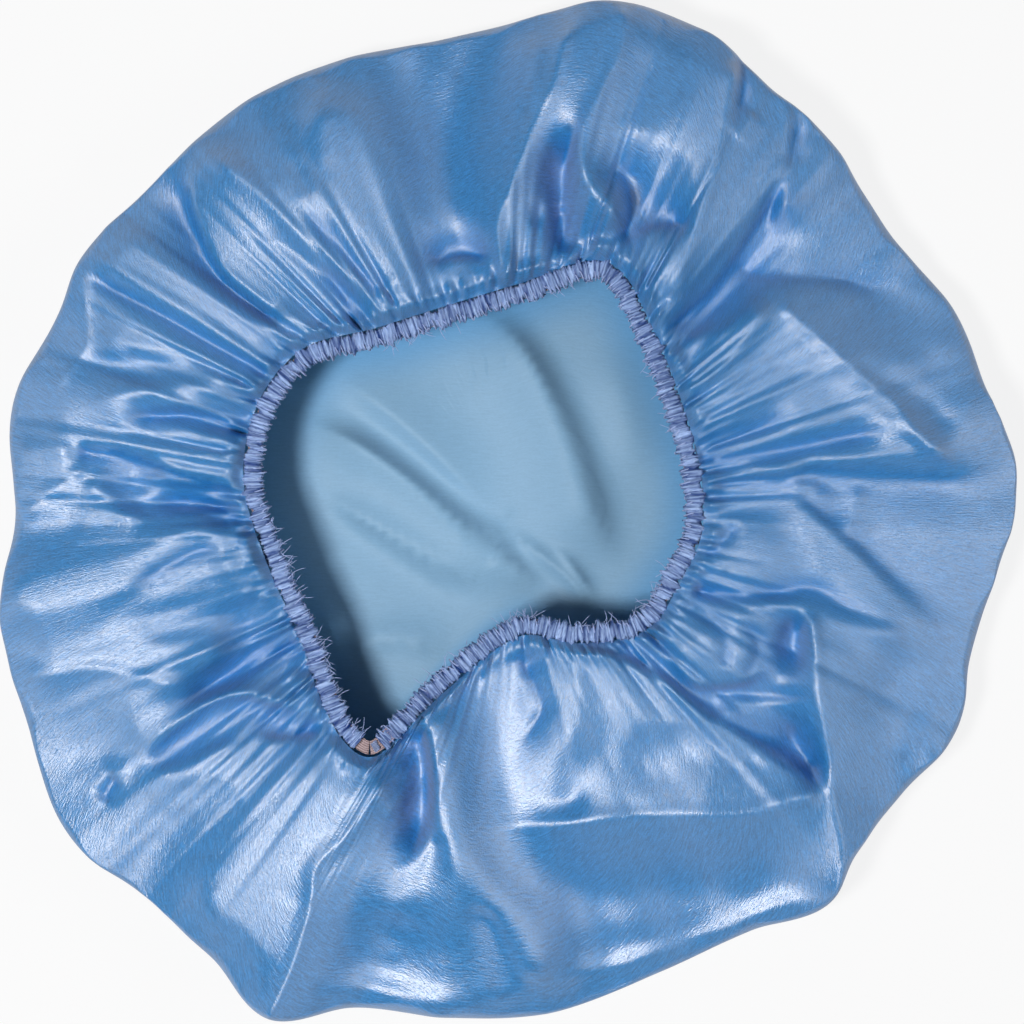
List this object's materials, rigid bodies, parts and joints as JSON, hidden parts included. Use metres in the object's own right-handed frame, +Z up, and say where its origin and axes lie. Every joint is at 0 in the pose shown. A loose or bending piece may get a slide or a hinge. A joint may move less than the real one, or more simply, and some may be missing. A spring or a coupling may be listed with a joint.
{
  "type": "satin hair bonnet",
  "caption": "Round satin hair bonnet lying open on a table, gathered into an elastic band that stretches over the head.",
  "frame": {"origin": "on the table, under the middle of the outline seen from above", "axes": "+Z up out of the opening, +Y to the top of the picture, +X to its right"},
  "size_m": [0.3294, 0.331, 0.0488],
  "materials": {
    "satin": "satin",
    "hem": "satin",
    "elastic": "matte",
    "thread": "matte"
  },
  "bodies": {
    "cap": {"satin_cap": "satin"},
    "band_01": {"hem_casing_01": "hem", "elastic_01": "elastic", "elastic_lap": "elastic", "bar_tack": "thread"},
    "band_02": {"hem_casing_02": "hem", "elastic_02": "elastic"},
    "band_03": {"hem_casing_03": "hem", "elastic_03": "elastic"},
    "band_04": {"hem_casing_04": "hem", "elastic_04": "elastic"},
    "band_05": {"hem_casing_05": "hem", "elastic_05": "elastic"},
    "band_06": {"hem_casing_06": "hem", "elastic_06": "elastic"},
    "band_07": {"hem_casing_07": "hem", "elastic_07": "elastic"},
    "band_08": {"hem_casing_08": "hem", "elastic_08": "elastic"},
    "band_09": {"hem_casing_09": "hem", "elastic_09": "elastic"},
    "band_10": {"hem_casing_10": "hem", "elastic_10": "elastic"},
    "band_11": {"hem_casing_11": "hem", "elastic_11": "elastic"},
    "band_12": {"hem_casing_12": "hem", "elastic_12": "elastic"},
    "band_13": {"hem_casing_13": "hem", "elastic_13": "elastic"},
    "band_14": {"hem_casing_14": "hem", "elastic_14": "elastic"},
    "band_15": {"hem_casing_15": "hem", "elastic_15": "elastic"},
    "band_16": {"hem_casing_16": "hem", "elastic_16": "elastic"},
    "band_17": {"hem_casing_17": "hem", "elastic_17": "elastic"},
    "band_18": {"hem_casing_18": "hem", "elastic_18": "elastic"},
    "band_19": {"hem_casing_19": "hem", "elastic_19": "elastic"},
    "band_20": {"hem_casing_20": "hem", "elastic_20": "elastic"}
  },
  "joints": [
    {"name": "stretch_01", "type": "slide", "parent": "cap", "child": "band_01", "axis": [-0.3083, -0.9513, 0], "range_m": [0, 0.01837], "stiffness_N_per_m": 40, "deforming": ["satin_cap"]},
    {"name": "stretch_02", "type": "slide", "parent": "cap", "child": "band_02", "axis": [-0.118, -0.993, 0], "range_m": [0, 0.01376], "stiffness_N_per_m": 40},
    {"name": "stretch_03", "type": "slide", "parent": "cap", "child": "band_03", "axis": [0.2663, -0.9639, 0], "range_m": [0, 0.01095], "stiffness_N_per_m": 40},
    {"name": "stretch_04", "type": "slide", "parent": "cap", "child": "band_04", "axis": [0.6264, -0.7795, 0], "range_m": [0, 0.01324], "stiffness_N_per_m": 40},
    {"name": "stretch_05", "type": "slide", "parent": "cap", "child": "band_05", "axis": [0.8323, -0.5544, 0], "range_m": [0, 0.01603], "stiffness_N_per_m": 40},
    {"name": "stretch_06", "type": "slide", "parent": "cap", "child": "band_06", "axis": [0.9666, -0.2562, 0], "range_m": [0, 0.01684], "stiffness_N_per_m": 40},
    {"name": "stretch_07", "type": "slide", "parent": "cap", "child": "band_07", "axis": [0.9979, 0.0642, 0], "range_m": [0, 0.01699], "stiffness_N_per_m": 40},
    {"name": "stretch_08", "type": "slide", "parent": "cap", "child": "band_08", "axis": [0.9235, 0.3835, 0], "range_m": [0, 0.01698], "stiffness_N_per_m": 40},
    {"name": "stretch_09", "type": "slide", "parent": "cap", "child": "band_09", "axis": [0.7595, 0.6505, 0], "range_m": [0, 0.01804], "stiffness_N_per_m": 40},
    {"name": "stretch_10", "type": "slide", "parent": "cap", "child": "band_10", "axis": [0.5547, 0.8321, 0], "range_m": [0, 0.01962], "stiffness_N_per_m": 40},
    {"name": "stretch_11", "type": "slide", "parent": "cap", "child": "band_11", "axis": [0.341, 0.9401, 0], "range_m": [0, 0.01754], "stiffness_N_per_m": 40},
    {"name": "stretch_12", "type": "slide", "parent": "cap", "child": "band_12", "axis": [0.0453, 0.999, 0], "range_m": [0, 0.01477], "stiffness_N_per_m": 40},
    {"name": "stretch_13", "type": "slide", "parent": "cap", "child": "band_13", "axis": [-0.336, 0.9419, 0], "range_m": [0, 0.0139], "stiffness_N_per_m": 40},
    {"name": "stretch_14", "type": "slide", "parent": "cap", "child": "band_14", "axis": [-0.6549, 0.7557, 0], "range_m": [0, 0.01534], "stiffness_N_per_m": 40},
    {"name": "stretch_15", "type": "slide", "parent": "cap", "child": "band_15", "axis": [-0.8591, 0.5119, 0], "range_m": [0, 0.01689], "stiffness_N_per_m": 40},
    {"name": "stretch_16", "type": "slide", "parent": "cap", "child": "band_16", "axis": [-0.9774, 0.2115, 0], "range_m": [0, 0.01692], "stiffness_N_per_m": 40},
    {"name": "stretch_17", "type": "slide", "parent": "cap", "child": "band_17", "axis": [-0.9932, -0.1168, 0], "range_m": [0, 0.01611], "stiffness_N_per_m": 40},
    {"name": "stretch_18", "type": "slide", "parent": "cap", "child": "band_18", "axis": [-0.8921, -0.4518, 0], "range_m": [0, 0.01573], "stiffness_N_per_m": 40},
    {"name": "stretch_19", "type": "slide", "parent": "cap", "child": "band_19", "axis": [-0.697, -0.7171, 0], "range_m": [0, 0.01714], "stiffness_N_per_m": 40},
    {"name": "stretch_20", "type": "slide", "parent": "cap", "child": "band_20", "axis": [-0.4867, -0.8735, 0], "range_m": [0, 0.01981], "stiffness_N_per_m": 40}
  ],
  "couplings": [
    {"joint": "stretch_02", "follows": "stretch_01", "ratio": 0.74769},
    {"joint": "stretch_03", "follows": "stretch_01", "ratio": 0.59516},
    {"joint": "stretch_04", "follows": "stretch_01", "ratio": 0.71939},
    {"joint": "stretch_05", "follows": "stretch_01", "ratio": 0.8716},
    {"joint": "stretch_06", "follows": "stretch_01", "ratio": 0.91547},
    {"joint": "stretch_07", "follows": "stretch_01", "ratio": 0.92364},
    {"joint": "stretch_08", "follows": "stretch_01", "ratio": 0.92302},
    {"joint": "stretch_09", "follows": "stretch_01", "ratio": 0.98088},
    {"joint": "stretch_10", "follows": "stretch_01", "ratio": 1.0669},
    {"joint": "stretch_11", "follows": "stretch_01", "ratio": 0.95351},
    {"joint": "stretch_12", "follows": "stretch_01", "ratio": 0.80287},
    {"joint": "stretch_13", "follows": "stretch_01", "ratio": 0.75551},
    {"joint": "stretch_14", "follows": "stretch_01", "ratio": 0.83404},
    {"joint": "stretch_15", "follows": "stretch_01", "ratio": 0.91854},
    {"joint": "stretch_16", "follows": "stretch_01", "ratio": 0.91989},
    {"joint": "stretch_17", "follows": "stretch_01", "ratio": 0.87613},
    {"joint": "stretch_18", "follows": "stretch_01", "ratio": 0.85524},
    {"joint": "stretch_19", "follows": "stretch_01", "ratio": 0.93187},
    {"joint": "stretch_20", "follows": "stretch_01", "ratio": 1.0774}
  ]
}
